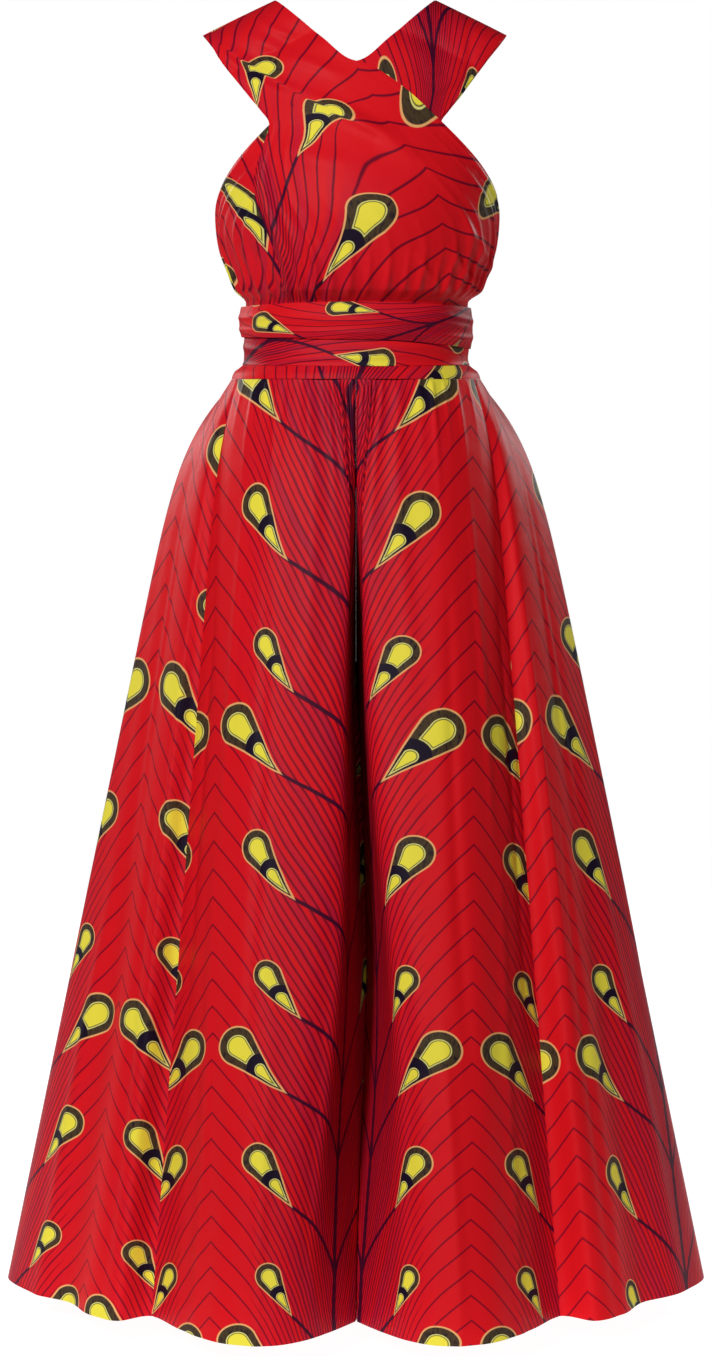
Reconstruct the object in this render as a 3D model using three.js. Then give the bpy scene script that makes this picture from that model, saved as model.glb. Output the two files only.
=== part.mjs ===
// A sleeveless wide leg jumpsuit in crisp printed cotton, in the shape that it has when it is worn, with
// nothing inside it. Two broad straps are gathered to the waistband in front, cross over the bust, go over
// the shoulders, cross again on the back, and are wound twice round the waist as a sash. Each leg is a front
// and a back panel, so wide at the hem that the cloth falls in deep flutes.
//
// Millimetres. X runs to the wearer's left, Y to the back and Z up. Heights below are above the hem, and the
// finished group is lowered, so that the origin is midway between the shoulders on the shoulder line.

import * as THREE from "three";

// Driving dimensions
const LEG_CLOTH = 1.5; // thickness of a leg panel
const STRAP_CLOTH = 1.2; // thickness of a strap, of the sash and of the waistband
const SEAM = 0.3; // gap that stands for a seam
const LAYER = 1.5; // air between two straps where they cross, less at the waistband's seam
const LAYER_OPENS = 1112; // height above which the two straps have all of that air
const SHOULDER_MID = 1400; // height of the middle of the shoulder straps
const STRAP_TOP = 1420; // the strap's inner edge, at the shoulder
const STRAP_TOP_X = 87; // distance of that edge from the middle
const SHOULDER_SLOPE = 38 / 78; // fall of the shoulder for each millimetre outwards
const SHOULDER_ROUND = 54; // radius of the top of the shoulder, from front to back
const SHOULDER_FALL = 0.9; // how far the cloth falls away below that, for each millimetre down
const SHOULDER_BLEND = 6; // rounds the turn from the shoulder into the chest
const SHOULDER_STEPS = [0.33, 0.08, 0]; // sections close to the shoulder seam, in parts of the last one
const BODICE_SEAM = 1072; // where the straps are sewn to the waistband
const WAIST = 1007; // where the legs are sewn to the waistband
const CROTCH = 715;
const HEM = 0;

// The hollow inside of the bodice and waistband: half width, and depth in front of and behind the middle
const FIGURE = [
  { z: 1007, width: 136, front: 101, back: 97 },
  { z: 1012, width: 134.5, front: 100, back: 96 },
  { z: 1017, width: 131, front: 97.5, back: 93 },
  { z: 1021, width: 124.5, front: 93.5, back: 89 },
  { z: 1027, width: 120.5, front: 91.5, back: 86.5 },
  { z: 1045, width: 119.5, front: 91, back: 86 },
  { z: 1072, width: 119.5, front: 91.5, back: 86 },
  { z: 1088, width: 120, front: 93, back: 86.5 },
  { z: 1096, width: 121, front: 98, back: 88 },
  { z: 1106, width: 127.5, front: 107, back: 91 },
  { z: 1122, width: 134.5, front: 115, back: 93 },
  { z: 1150, width: 146, front: 122, back: 96 },
  { z: 1190, width: 152, front: 127, back: 100 },
  { z: 1230, width: 156, front: 121, back: 103 },
  { z: 1280, width: 160, front: 103, back: 103 },
  { z: 1330, width: 172, front: 84, back: 96 },
  { z: 1380, width: 184, front: 68, back: 82 },
  { z: 1430, width: 190, front: 60, back: 70 },
];

// A strap's two edges in front, from the waistband to the shoulder. near is on its own side of the waist and
// far on the side of the shoulder that it goes to. Each turn is in degrees round the figure from the middle of
// the front, and each z a height.
const FRONT_STRAP = [
  { nearTurn: 97, nearZ: 1072.3, farTurn: -38, farZ: 1072.3 },
  { nearTurn: 97, nearZ: 1088, farTurn: -38, farZ: 1088 },
  { nearTurn: 97, nearZ: 1097, farTurn: -37, farZ: 1097 },
  { nearTurn: 97, nearZ: 1108, farTurn: -36, farZ: 1108 },
  { nearTurn: 97, nearZ: 1126, farTurn: -35.5, farZ: 1124 },
  { nearTurn: 97, nearZ: 1150, farTurn: -36.5, farZ: 1147 },
  { nearTurn: 92, nearZ: 1178, farTurn: -40, farZ: 1174 },
  { nearTurn: 79, nearZ: 1203, farTurn: -43.5, farZ: 1200 },
  { nearTurn: 62, nearZ: 1230, farTurn: -43, farZ: 1226 },
  { nearTurn: 46, nearZ: 1259, farTurn: -39, farZ: 1252 },
  { nearTurn: 30, nearZ: 1291, farTurn: -34.7, farZ: 1279 },
  { nearTurn: 16, nearZ: 1322, farTurn: -38, farZ: 1295 },
  { nearTurn: 5, nearZ: 1343, farTurn: -42.6, farZ: 1311 },
  { nearTurn: -3.4, nearZ: 1352, farTurn: -47, farZ: 1328 },
  { nearTurn: -11.2, nearZ: 1374, farTurn: -52, farZ: 1346 },
  { nearTurn: -19.3, nearZ: 1397, farTurn: -57, farZ: 1364 },
  { nearTurn: -27.5, nearZ: 1420, farTurn: -63, farZ: 1382 },
];

const FRONT_STRAP_ROWS = 22;

// The same strap on the back, from its shoulder across to the other side of the waist
const BACK_STRAP = [
  { innerX: 87, innerZ: 1420, outerX: 165, outerZ: 1382 },
  { innerX: 62, innerZ: 1390, outerX: 138, outerZ: 1350 },
  { innerX: 36, innerZ: 1358, outerX: 110, outerZ: 1316 },
  { innerX: 8, innerZ: 1324, outerX: 80, outerZ: 1280 },
  { innerX: -22, innerZ: 1288, outerX: 48, outerZ: 1243 },
  { innerX: -50, innerZ: 1250, outerX: 16, outerZ: 1205 },
  { innerX: -74, innerZ: 1210, outerX: -16, outerZ: 1168 },
  { innerX: -95, innerZ: 1168, outerX: -48, outerZ: 1134 },
  { innerX: -109, innerZ: 1128, outerX: -74, outerZ: 1106 },
  { innerX: -112, innerZ: 1094, outerX: -90, outerZ: 1082 },
];

// The flutes of a leg at the hem, seen from above, from the valley between the legs in front round the
// outside to the valley behind. turn is where the same line starts on the waist seam, from the front.
const FRONT_FLUTES = [
  { line: "valley between the legs", x: 1, y: -195, turn: 2 },
  { line: "inner wall of the first flute", x: 20, y: -240, turn: 10 },
  { line: "inner edge of the first flute", x: 48, y: -278, turn: 19 },
  { line: "crest of the first flute", x: 94, y: -297, turn: 32 },
  { line: "outer edge of the first flute", x: 144, y: -283, turn: 46 },
  { line: "outer wall of the first flute", x: 187, y: -228, turn: 59 },
  { line: "side seam, in a valley", x: 221, y: -172, turn: 71 },
];
const BACK_FLUTES = [
  { line: "crest of the second flute", x: 257, y: -192, turn: 78 },
  { line: "outer wall of the second flute", x: 290, y: -162, turn: 85 },
  { line: "second valley", x: 313, y: -112, turn: 91 },
  { line: "crest of the third flute", x: 353, y: -74, turn: 98 },
  { line: "outermost line", x: 391, y: 0, turn: 105 },
  { line: "back of the third flute", x: 376, y: 66, turn: 112 },
  { line: "third valley", x: 328, y: 112, turn: 120 },
  { line: "outer wall of the fourth flute", x: 318, y: 160, turn: 127 },
  { line: "crest of the fourth flute", x: 280, y: 210, turn: 134 },
  { line: "inner wall of the fourth flute", x: 240, y: 212, turn: 141 },
  { line: "fourth valley", x: 208, y: 198, turn: 148 },
  { line: "outer edge of the fifth flute", x: 166, y: 244, turn: 155 },
  { line: "crest of the fifth flute", x: 112, y: 282, turn: 162 },
  { line: "inner edge of the fifth flute", x: 58, y: 270, turn: 168 },
  { line: "inner wall of the fifth flute", x: 22, y: 232, turn: 173 },
  { line: "valley behind the legs", x: 1, y: 190, turn: 178 },
];

// The crotch seam, in front and behind, from the waistband to the crotch
const CROTCH_SEAM = [
  { z: 1007, front: -100, back: 96 },
  { z: 970, front: -103, back: 103 },
  { z: 930, front: -105, back: 109 },
  { z: 880, front: -104, back: 111 },
  { z: 830, front: -94, back: 104 },
  { z: 785, front: -70, back: 82 },
  { z: 745, front: -36, back: 46 },
  { z: 715, front: 5, back: 5.5 },
];
const INSEAM_HEM_Y = 26; // the inseams fall a little backwards from the crotch to the hem

// The cleft between the legs, in front and behind: how far from the middle its fold, its wall and its outer edge
// lie, and how far the fold sinks behind a straight fall
const LEG_CLEFT = [
  { z: 1007, fold: 4, wall: 14, edge: 27, sink: 0 },
  { z: 930, fold: 1.6, wall: 9, edge: 20, sink: 1 },
  { z: 880, fold: 1, wall: 7, edge: 16, sink: 5 },
  { z: 830, fold: 1.2, wall: 6.5, edge: 14, sink: 13 },
  { z: 785, fold: 2, wall: 7, edge: 14, sink: 34 },
  { z: 715, fold: 2.5, wall: 8, edge: 15, sink: 78 },
  { z: 640, fold: 2.5, wall: 9, edge: 17, sink: 103 },
  { z: 480, fold: 2, wall: 13, edge: 25, sink: 110 },
  { z: 300, fold: 1.4, wall: 19, edge: 38, sink: 86 },
  { z: 120, fold: 1, wall: 25, edge: 51, sink: 34 },
  { z: 0, fold: 1, wall: 28, edge: 58, sink: 0 },
];
const CLEFT_SINKS = { fold: 1, wall: 0.42, edge: 0.05 }; // share of the sink that each line takes
const CLEFT_SWING = 10; // how far the cleft swings to the wearer's left, halfway down
const INSEAM_GAP = 9; // half the gap between the legs at the inseams, at the hem
const INSEAM_OPENS = 300; // drop from the crotch over which that gap opens
const WALL_WAVE = 15; // sideways swing of the two inner walls between the legs, at the hem
const WALL_WAVE_GROWS = 500; // drop from the crotch over which the swing grows

// The legs' fall: the hip takes the first share of the spread over a short drop, more at the sides
const SIDE_HIP = { share: 0.19, drop: 0.058, round: 1.2 };
const DEPTH_HIP = { share: 0.09, drop: 0.07, round: 1.4 };

// Gathers under the waistband, a panel's: how many and how deep, how soon they start and fade down the leg,
// and between which shares of the panel's width they die away towards the side seam
const LEG_GATHERS = { count: 5, size: 2.6, start: 9, fade: 62, front: [0.6, 0.9], back: [0.35, 0.6] };
const GATHERS_CLEAR_OF_SEAM = 0.12; // share of the panel at the middle seam that stays plain
const GATHERS_FACE_FRONT = 1.6; // gathers push out more to the front and back than to the side

// Gathers of a strap above the waistband: they rise between two heights, and fade above them
const BODICE_GATHERS = { count: 10, depth: 3.2, low: 1090, high: 1103, fade: 30 };

// The two turns of the sash: lower and upper edge at the wearer's right, in front, at the left and behind,
// and how far the cloth's inner side stands off the waist
const SASH_LOWER = { low: [1023, 1021, 1023, 1022], high: [1063, 1062, 1064, 1062], bulge: 1.6, inner: 1.6 };
const SASH_UPPER = { low: [1053, 1050, 1040, 1046], high: [1086, 1090, 1085, 1086], bulge: 3, inner: 5.4 };
const SASH_CREASES = 3;
const CREASE_DEPTH = 0.7;

const LEG_ROWS = [1007, 995, 975, 945, 905, 860, 805, 755, 715, 640, 520, 370, 190, 0];
const WAIST_COLUMNS = 40;
const PRINT_RED = 0xc4141c;

const cloth = new THREE.MeshStandardMaterial({ color: PRINT_RED, roughness: 0.62, metalness: 0 });
const radians = THREE.MathUtils.degToRad;
const mix = THREE.MathUtils.lerp;

// Value of one column of a table at a height, by a smooth curve through its rows
function column(rows, key, z) {
  const falling = rows[0].z > rows[rows.length - 1].z;
  const ordered = falling ? [...rows].reverse() : rows;
  const last = ordered.length - 1;
  if (z <= ordered[0].z) return ordered[0][key];
  if (z >= ordered[last].z) return ordered[last][key];
  const i = ordered.findIndex((row) => row.z > z) - 1;
  const slope = (k) => {
    const before = ordered[Math.max(k - 1, 0)];
    const after = ordered[Math.min(k + 1, last)];
    return (after[key] - before[key]) / (after.z - before.z);
  };
  const span = ordered[i + 1].z - ordered[i].z;
  const t = (z - ordered[i].z) / span;
  const rise = t * t * (3 - 2 * t);
  const leave = slope(i) * span * t * (1 - t) * (1 - t);
  const arrive = slope(i + 1) * span * t * t * (1 - t);
  return mix(ordered[i][key], ordered[i + 1][key], rise) + leave - arrive;
}

// A smooth curve through the rows of a table, read at 0 to 1 along it
function along(rows, keys, t) {
  const place = THREE.MathUtils.clamp(t, 0, 1) * (rows.length - 1);
  const i = Math.min(Math.floor(place), rows.length - 2);
  const s = place - i;
  const row = (k) => rows[THREE.MathUtils.clamp(k, 0, rows.length - 1)];
  return keys.map((key) => {
    const [a, b, c, d] = [row(i - 1)[key], row(i)[key], row(i + 1)[key], row(i + 2)[key]];
    const curve = (2 * a - 5 * b + 4 * c - d) * s * s + (3 * b - a - 3 * c + d) * s * s * s;
    return b + 0.5 * ((c - a) * s + curve);
  });
}

const evenly = (from, to, steps) => Array.from({ length: steps + 1 }, (_, k) => mix(from, to, k / steps));
const smaller = (a, b, blend) => 0.5 * (a + b - Math.hypot(a - b, blend));

// A closed wall of cloth. at(u, v) gives its outer surface, and the wall grows inwards from it. flatten
// names, for the first and last row, the axis that the edge's face is square to. trim draws an edge back.
function wall(name, us, vs, at, options = {}) {
  const { thickness = STRAP_CLOTH, closed = false, flatten = [], trim = {}, keep = (p) => p } = options;
  const [du, dv] = [1e-3 * Math.abs(us[1] - us[0]), 1e-3 * Math.abs(vs[1] - vs[0])];
  const [rows, columns] = [vs.length, closed ? us.length - 1 : us.length];
  const points = [[], []];
  for (let i = 0; i < rows; i++) {
    for (let j = 0; j < columns; j++) {
      const [u, v] = [us[j], vs[i]];
      const across = at(u + du, v).sub(at(u - du, v)).normalize();
      const down = at(u, v + dv).sub(at(u, v - dv)).normalize();
      const normal = new THREE.Vector3().crossVectors(across, down);
      const axis = i === 0 ? flatten[0] : i === rows - 1 ? flatten[1] : undefined;
      if (axis) normal[axis] = 0;
      normal.normalize().multiplyScalar(options.turned ? -1 : 1);
      const p = at(u, v);
      if (!closed && j === 0 && trim.first) p.addScaledVector(across, trim.first);
      if (!closed && j === columns - 1 && trim.last) p.addScaledVector(across, -trim.last);
      points[0].push(keep(p.clone()));
      points[1].push(keep(p.addScaledVector(normal, -thickness)));
    }
  }
  const size = rows * columns;
  const index = [];
  const quad = (a, b, c, d) => index.push(a, b, c, a, c, d);
  const spans = closed ? columns : columns - 1;
  for (let i = 0; i < rows - 1; i++) {
    for (let j = 0; j < spans; j++) {
      const [a, b] = [i * columns + j, i * columns + ((j + 1) % columns)];
      quad(a, b, b + columns, a + columns);
      quad(size + a, size + a + columns, size + b + columns, size + b);
    }
  }
  for (let j = 0; j < spans; j++) {
    const [a, b] = [j, (j + 1) % columns];
    const foot = (rows - 1) * columns;
    quad(a, size + a, size + b, b);
    quad(foot + a, foot + b, size + foot + b, size + foot + a);
  }
  for (let i = 0; !closed && i < rows - 1; i++) {
    const [a, b] = [i * columns, i * columns + columns - 1];
    quad(a, a + columns, size + a + columns, size + a);
    quad(b, size + b, size + b + columns, b + columns);
  }
  return piece(name, [...points[0], ...points[1]], index);
}

// A named mesh from points and triangles, turned so that its faces point out
function piece(name, points, index) {
  let volume = 0;
  for (let k = 0; k < index.length; k += 3) {
    const [a, b, c] = [points[index[k]], points[index[k + 1]], points[index[k + 2]]];
    volume += a.dot(new THREE.Vector3().crossVectors(b, c)) / 6;
  }
  const geometry = new THREE.BufferGeometry().setFromPoints(points);
  geometry.setIndex(volume < 0 ? index.reverse() : index);
  geometry.computeVertexNormals();
  const mesh = new THREE.Mesh(geometry, cloth.clone());
  mesh.name = name;
  return mesh;
}

// The turn round the figure, from the middle of the front or back, that brings a point x across
function turnAt(x, z, out) {
  const width = column(FIGURE, "width", z) + out;
  return Math.asin(THREE.MathUtils.clamp(x / width, -1, 1));
}

// A point of the bodice, proud of its hollow by out. back is 1 for the back and -1 for the front. The top of
// each shoulder is round from front to back.
function onFigure(turn, z, out, back) {
  const x = (column(FIGURE, "width", z) + out) * Math.sin(turn);
  const body = (column(FIGURE, back > 0 ? "back" : "front", z) + out) * Math.cos(turn);
  const below = STRAP_TOP - (Math.abs(x) - STRAP_TOP_X) * SHOULDER_SLOPE - z;
  const round = SHOULDER_ROUND + out;
  const drop = THREE.MathUtils.clamp(below, 0, round);
  const shoulder = Math.sqrt(drop * (2 * round - drop)) + Math.max(below - round, 0) * SHOULDER_FALL;
  const fall = body > 0 ? Math.max(smaller(body, shoulder, SHOULDER_BLEND), SEAM / 2) : body;
  return new THREE.Vector3(x, back * fall, z);
}

// How far a strap's outer side lies from the figure: layer is 0 for the one beneath and 1 for the one on top
function strapOut(layer, z) {
  const air = mix(SEAM, LAYER, THREE.MathUtils.smoothstep(z, BODICE_SEAM, LAYER_OPENS));
  return STRAP_CLOTH + layer * (STRAP_CLOTH + air);
}

// How far the cloth of a strap is raised by the gathers above the waistband
function gatherRise(z) {
  const { depth, low, high, fade } = BODICE_GATHERS;
  return depth * THREE.MathUtils.smoothstep(z, low, high) * Math.exp(-Math.max(z - high, 0) / fade);
}

const SHOULDER_STRAIGHTENS = 0.8; // how far up a front strap it turns straight, to meet the back strap's end

// One front strap. side is 1 for the strap that starts at the wearer's left side of the waist.
function frontStrap(name, side, layer) {
  const at = (u, v) => {
    const edges = along(FRONT_STRAP, ["nearTurn", "farTurn", "nearZ", "farZ"], v);
    const [near, far] = [radians(edges[0]), radians(edges[1])];
    const straight = Math.asin(THREE.MathUtils.clamp(mix(Math.sin(near), Math.sin(far), u), -1, 1));
    const turn = mix(mix(near, far, u), straight, THREE.MathUtils.smoothstep(v, SHOULDER_STRAIGHTENS, 1));
    const z = mix(edges[2], edges[3], u);
    const out = strapOut(layer, z);
    const wave = 0.5 - 0.5 * Math.cos(2 * Math.PI * BODICE_GATHERS.count * u);
    const p = onFigure(turn, z, out + gatherRise(z) * (layer + wave), -1);
    return p.multiply(new THREE.Vector3(side, 1, 1));
  };
  const sections = FRONT_STRAP.length - 1;
  const rows = evenly(0, 1 - 1 / sections, FRONT_STRAP_ROWS);
  rows.push(...SHOULDER_STEPS.map((step) => 1 - step / sections));
  return wall(name, evenly(0, 1, 20), rows, at, { turned: side < 0, flatten: ["z", "y"] });
}

// One back strap. side is 1 for the strap that comes over the wearer's left shoulder.
function backStrap(name, side, layer) {
  const at = (u, v) => {
    const [innerX, innerZ, outerX, outerZ] = along(BACK_STRAP, ["innerX", "innerZ", "outerX", "outerZ"], v);
    const z = mix(innerZ, outerZ, u);
    const out = strapOut(layer, z);
    const p = onFigure(turnAt(mix(innerX, outerX, u), z, out), z, out, 1);
    return p.multiply(new THREE.Vector3(side, 1, 1));
  };
  const sections = BACK_STRAP.length - 1;
  const rows = SHOULDER_STEPS.map((step) => step / sections).reverse();
  rows.push(...evenly(1 / sections, 1, sections - 1));
  return wall(name, evenly(0, 1, 8), rows, at, { turned: side > 0, flatten: ["y"] });
}

// A point of a band round the waist, u turning from the wearer's right through the front
function roundWaist(u, z, out) {
  const angle = u * 2 * Math.PI;
  const depth = column(FIGURE, Math.sin(angle) < 0 ? "back" : "front", z) + out;
  const width = column(FIGURE, "width", z) + out;
  return new THREE.Vector3(-width * Math.cos(angle), -depth * Math.sin(angle), z);
}

const WAISTBAND_ROWS = [BODICE_SEAM, 1045, 1027, 1021, 1016, WAIST + SEAM];
const waistband = () =>
  wall("waistband", evenly(0, 1, WAIST_COLUMNS), WAISTBAND_ROWS, (u, z) => roundWaist(u, z, STRAP_CLOTH), {
    closed: true,
    flatten: ["z", "z"],
  });

// One turn of the sash, with long soft creases
function sashTurn(name, { low, high, bulge, inner }) {
  const edge = (heights, u) => {
    const place = (((u % 1) + 1) % 1) * heights.length;
    const i = Math.floor(place);
    const s = place - i;
    return mix(heights[i], heights[(i + 1) % heights.length], s * s * (3 - 2 * s));
  };
  const at = (u, v) => {
    const z = mix(edge(low, u), edge(high, u), v);
    const belly = bulge * Math.sin(Math.PI * THREE.MathUtils.clamp(v, 0, 1));
    const crease = CREASE_DEPTH * Math.sin(Math.PI * v) * Math.cos(2 * Math.PI * (SASH_CREASES * v + u));
    return roundWaist(u, z, inner + STRAP_CLOTH + belly + Math.max(crease, -belly));
  };
  return wall(name, evenly(0, 1, WAIST_COLUMNS), evenly(0, 1, 5), at, { closed: true, turned: true });
}

// How far the spread from waist to hem has gone at a height
function spread(z, { share, drop, round }) {
  const s = (WAIST - z) / (WAIST - HEM);
  return share * (1 - Math.exp(-Math.pow(Math.max(s, 0) / drop, round))) + (1 - share) * s;
}

// The leg's lines at one height: from the waist seam to the hem, each falls nearly straight, but for the cleft
function legLines(z, side) {
  const [wide, deep] = [spread(z, SIDE_HIP), spread(z, DEPTH_HIP)];
  const [front, back] = [column(FIGURE, "front", WAIST), column(FIGURE, "back", WAIST)];
  const width = column(FIGURE, "width", WAIST) + STRAP_CLOTH;
  const lines = [...FRONT_FLUTES, ...BACK_FLUTES];
  return lines.map(({ x, y, turn }, k) => {
    const angle = radians(turn);
    const depth = (Math.cos(angle) > 0 ? front : back) + STRAP_CLOTH;
    const place = { x: mix(width * Math.sin(angle), x, wide), y: mix(-depth * Math.cos(angle), y, deep) };
    const line = Object.keys(CLEFT_SINKS)[Math.min(k, lines.length - 1 - k)];
    if (line) {
      const swing = CLEFT_SWING * Math.sin(Math.PI * THREE.MathUtils.smoothstep(CROTCH - z, 0, CROTCH));
      place.x = column(LEG_CLEFT, line, z) + side * swing;
      place.y += Math.cos(angle) * CLEFT_SINKS[line] * column(LEG_CLEFT, "sink", z);
    }
    return place;
  });
}

// How far the gathers under the waistband push the cloth out, s of the way across a front or back panel
function legGather(isFront, s, depth) {
  const { count, size, start, fade, front, back } = LEG_GATHERS;
  const { smoothstep } = THREE.MathUtils;
  const strength = size * (1 - Math.exp(-Math.max(depth, 0) / start)) * Math.exp(-Math.max(depth, 0) / fade);
  const place = isFront ? 1 - smoothstep(s, ...front) : smoothstep(s, ...back);
  const fromMiddle = smoothstep(isFront ? s : 1 - s, 0, GATHERS_CLEAR_OF_SEAM);
  return strength * place * fromMiddle * Math.cos(2 * Math.PI * count * s);
}

// A point of the wall between the legs, s of the way from the inseam or crotch seam to the fold where the
// legs meet in front or behind
function onInnerWall(isFront, s, z, side, fold) {
  const { smoothstep } = THREE.MathUtils;
  const part = smoothstep(CROTCH - z, 0, INSEAM_OPENS) * (CROTCH - z) / CROTCH;
  const seam = column(CROTCH_SEAM, isFront ? "front" : "back", z);
  const seamY = z < CROTCH ? mix(INSEAM_HEM_Y, seam, z / CROTCH) : seam;
  const swing = side * WALL_WAVE * smoothstep(CROTCH - z, 0, WALL_WAVE_GROWS) * Math.sin(Math.PI * s);
  const x = mix(SEAM / 2 + INSEAM_GAP * part, fold.x, s) + (isFront ? swing : -swing);
  return new THREE.Vector3(x, mix(seamY, fold.y, s), z);
}

// A point of a leg. c runs 0 to 1 over the front inner wall, to 2 over the front, to 3 round the side and
// back, and to 4 over the back inner wall. side is 1 for the wearer's left leg.
function onLeg(c, z, side) {
  const lines = legLines(z, side);
  const joint = FRONT_FLUTES.length - 1;
  const last = lines.length - 1;
  const mirror = new THREE.Vector3(side, 1, 1);
  if (c < 1) return onInnerWall(true, Math.max(c, 0), z, side, lines[0]).multiply(mirror);
  if (c > 3) return onInnerWall(false, Math.max(4 - c, 0), z, side, lines[last]).multiply(mirror);
  const isFront = c <= 2;
  const place = isFront ? (c - 1) * joint : joint + (c - 2) * (last - joint);
  const [x, y] = along(lines, ["x", "y"], place / last);
  const away = new THREE.Vector2(x, y * GATHERS_FACE_FRONT).normalize();
  away.multiplyScalar(legGather(isFront, isFront ? c - 1 : c - 2, WAIST - z));
  return new THREE.Vector3(x + away.x, y + away.y, z).multiply(mirror);
}

// One panel of a leg, from its part of the loop round that leg
function legPanel(name, side, us, trim) {
  const keep = (p) => {
    if (p.z > CROTCH) p.x = side * Math.max(side * p.x, SEAM / 2);
    return p;
  };
  const rows = LEG_ROWS.map((z, k) => (k === 0 ? z - SEAM / 2 : z));
  return wall(name, us, rows, (c, z) => onLeg(c, z, side), {
    thickness: LEG_CLOTH,
    turned: side < 0,
    flatten: ["z", "z"],
    trim,
    keep,
  });
}

const garment = new THREE.Group();
for (const [label, side] of [["left", 1], ["right", -1]]) {
  const frontColumns = [...evenly(0, 1, 5), ...evenly(1, 2, 18).slice(1)];
  const backColumns = [...evenly(2, 3, 30), ...evenly(3, 4, 5).slice(1)];
  garment.add(legPanel(`leg_front_${label}`, side, frontColumns, { first: SEAM / 2, last: SEAM / 2 }));
  garment.add(legPanel(`leg_back_${label}`, side, backColumns, { first: SEAM / 2, last: SEAM / 2 }));
}
garment.add(waistband());
garment.add(sashTurn("sash_lower_turn", SASH_LOWER));
garment.add(sashTurn("sash_upper_turn", SASH_UPPER));
garment.add(frontStrap("strap_front_right", -1, 0));
garment.add(frontStrap("strap_front_left", 1, 1));
garment.add(backStrap("strap_back_left", 1, 0));
garment.add(backStrap("strap_back_right", -1, 1));
garment.position.z = -SHOULDER_MID;
garment.updateMatrixWorld(true);

export default garment;
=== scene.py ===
"""A sleeveless wide leg jumpsuit in crisp printed cotton, as it is worn, with nobody in it.

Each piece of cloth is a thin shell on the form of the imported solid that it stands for. The tables of the form
are in millimetres above the hem, and the meshes in metres from the middle of the shoulders. X runs to the
wearer's left, Y to the back and Z up.
"""

import math

import bpy
import numpy as np
from bpy.props import FloatProperty, FloatVectorProperty, PointerProperty
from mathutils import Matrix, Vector


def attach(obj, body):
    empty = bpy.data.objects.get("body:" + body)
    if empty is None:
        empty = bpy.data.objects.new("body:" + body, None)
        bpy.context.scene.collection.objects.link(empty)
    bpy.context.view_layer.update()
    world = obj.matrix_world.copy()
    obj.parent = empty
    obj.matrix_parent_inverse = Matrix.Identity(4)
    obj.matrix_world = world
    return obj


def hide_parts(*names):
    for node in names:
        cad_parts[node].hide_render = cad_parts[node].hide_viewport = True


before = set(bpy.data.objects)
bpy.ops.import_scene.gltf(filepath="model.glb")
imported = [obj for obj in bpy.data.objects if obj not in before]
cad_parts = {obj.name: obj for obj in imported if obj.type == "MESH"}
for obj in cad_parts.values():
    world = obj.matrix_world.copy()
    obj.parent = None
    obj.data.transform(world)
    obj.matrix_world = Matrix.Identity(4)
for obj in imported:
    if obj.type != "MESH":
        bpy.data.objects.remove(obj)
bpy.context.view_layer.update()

bl_info = {
    "name": "Wide leg jumpsuit",
    "version": (1, 0, 0),
    "blender": (4, 5, 0),
    "location": "3D View > Sidebar > Jumpsuit",
    "description": "Models a wrap jumpsuit with wide legs in printed cotton",
    "category": "Object",
}

MM = 0.001
BODY = "root"


def table(names, rows):
    """A table as one array for each of its named columns."""
    return dict(zip(names.split(), np.array(rows, float).T))


# The form of the garment, as in the solids
STRAP_CLOTH = 1.2
SEAM = 0.3
LAYER = 1.5
LAYER_OPENS = 1112
SHOULDER_MID = 1400
STRAP_TOP = 1420
STRAP_TOP_X = 87
SHOULDER_SLOPE = 38 / 78
SHOULDER_ROUND = 54
SHOULDER_FALL = 0.9
SHOULDER_BLEND = 6
SHOULDER_STRAIGHTENS = 0.8
BODICE_SEAM = 1072
WAIST = 1007
CROTCH = 715

FIGURE = table("z width front back", [
    (1007, 136, 101, 97),
    (1012, 134.5, 100, 96),
    (1017, 131, 97.5, 93),
    (1021, 124.5, 93.5, 89),
    (1027, 120.5, 91.5, 86.5),
    (1045, 119.5, 91, 86),
    (1072, 119.5, 91.5, 86),
    (1088, 120, 93, 86.5),
    (1096, 121, 98, 88),
    (1106, 127.5, 107, 91),
    (1122, 134.5, 115, 93),
    (1150, 146, 122, 96),
    (1190, 152, 127, 100),
    (1230, 156, 121, 103),
    (1280, 160, 103, 103),
    (1330, 172, 84, 96),
    (1380, 184, 68, 82),
    (1430, 190, 60, 70),
])
FRONT_STRAP = table("near_turn near_z far_turn far_z", [
    (97, 1072.3, -38, 1072.3),
    (97, 1088, -38, 1088),
    (97, 1097, -37, 1097),
    (97, 1108, -36, 1108),
    (97, 1126, -35.5, 1124),
    (97, 1150, -36.5, 1147),
    (92, 1178, -40, 1174),
    (79, 1203, -43.5, 1200),
    (62, 1230, -43, 1226),
    (46, 1259, -39, 1252),
    (30, 1291, -34.7, 1279),
    (16, 1322, -38, 1295),
    (5, 1343, -42.6, 1311),
    (-3.4, 1352, -47, 1328),
    (-11.2, 1374, -52, 1346),
    (-19.3, 1397, -57, 1364),
    (-27.5, 1420, -63, 1382),
])
BACK_STRAP = table("inner_x inner_z outer_x outer_z", [
    (87, 1420, 165, 1382),
    (62, 1390, 138, 1350),
    (36, 1358, 110, 1316),
    (8, 1324, 80, 1280),
    (-22, 1288, 48, 1243),
    (-50, 1250, 16, 1205),
    (-74, 1210, -16, 1168),
    (-95, 1168, -48, 1134),
    (-109, 1128, -74, 1106),
    (-112, 1094, -90, 1082),
])

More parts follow.
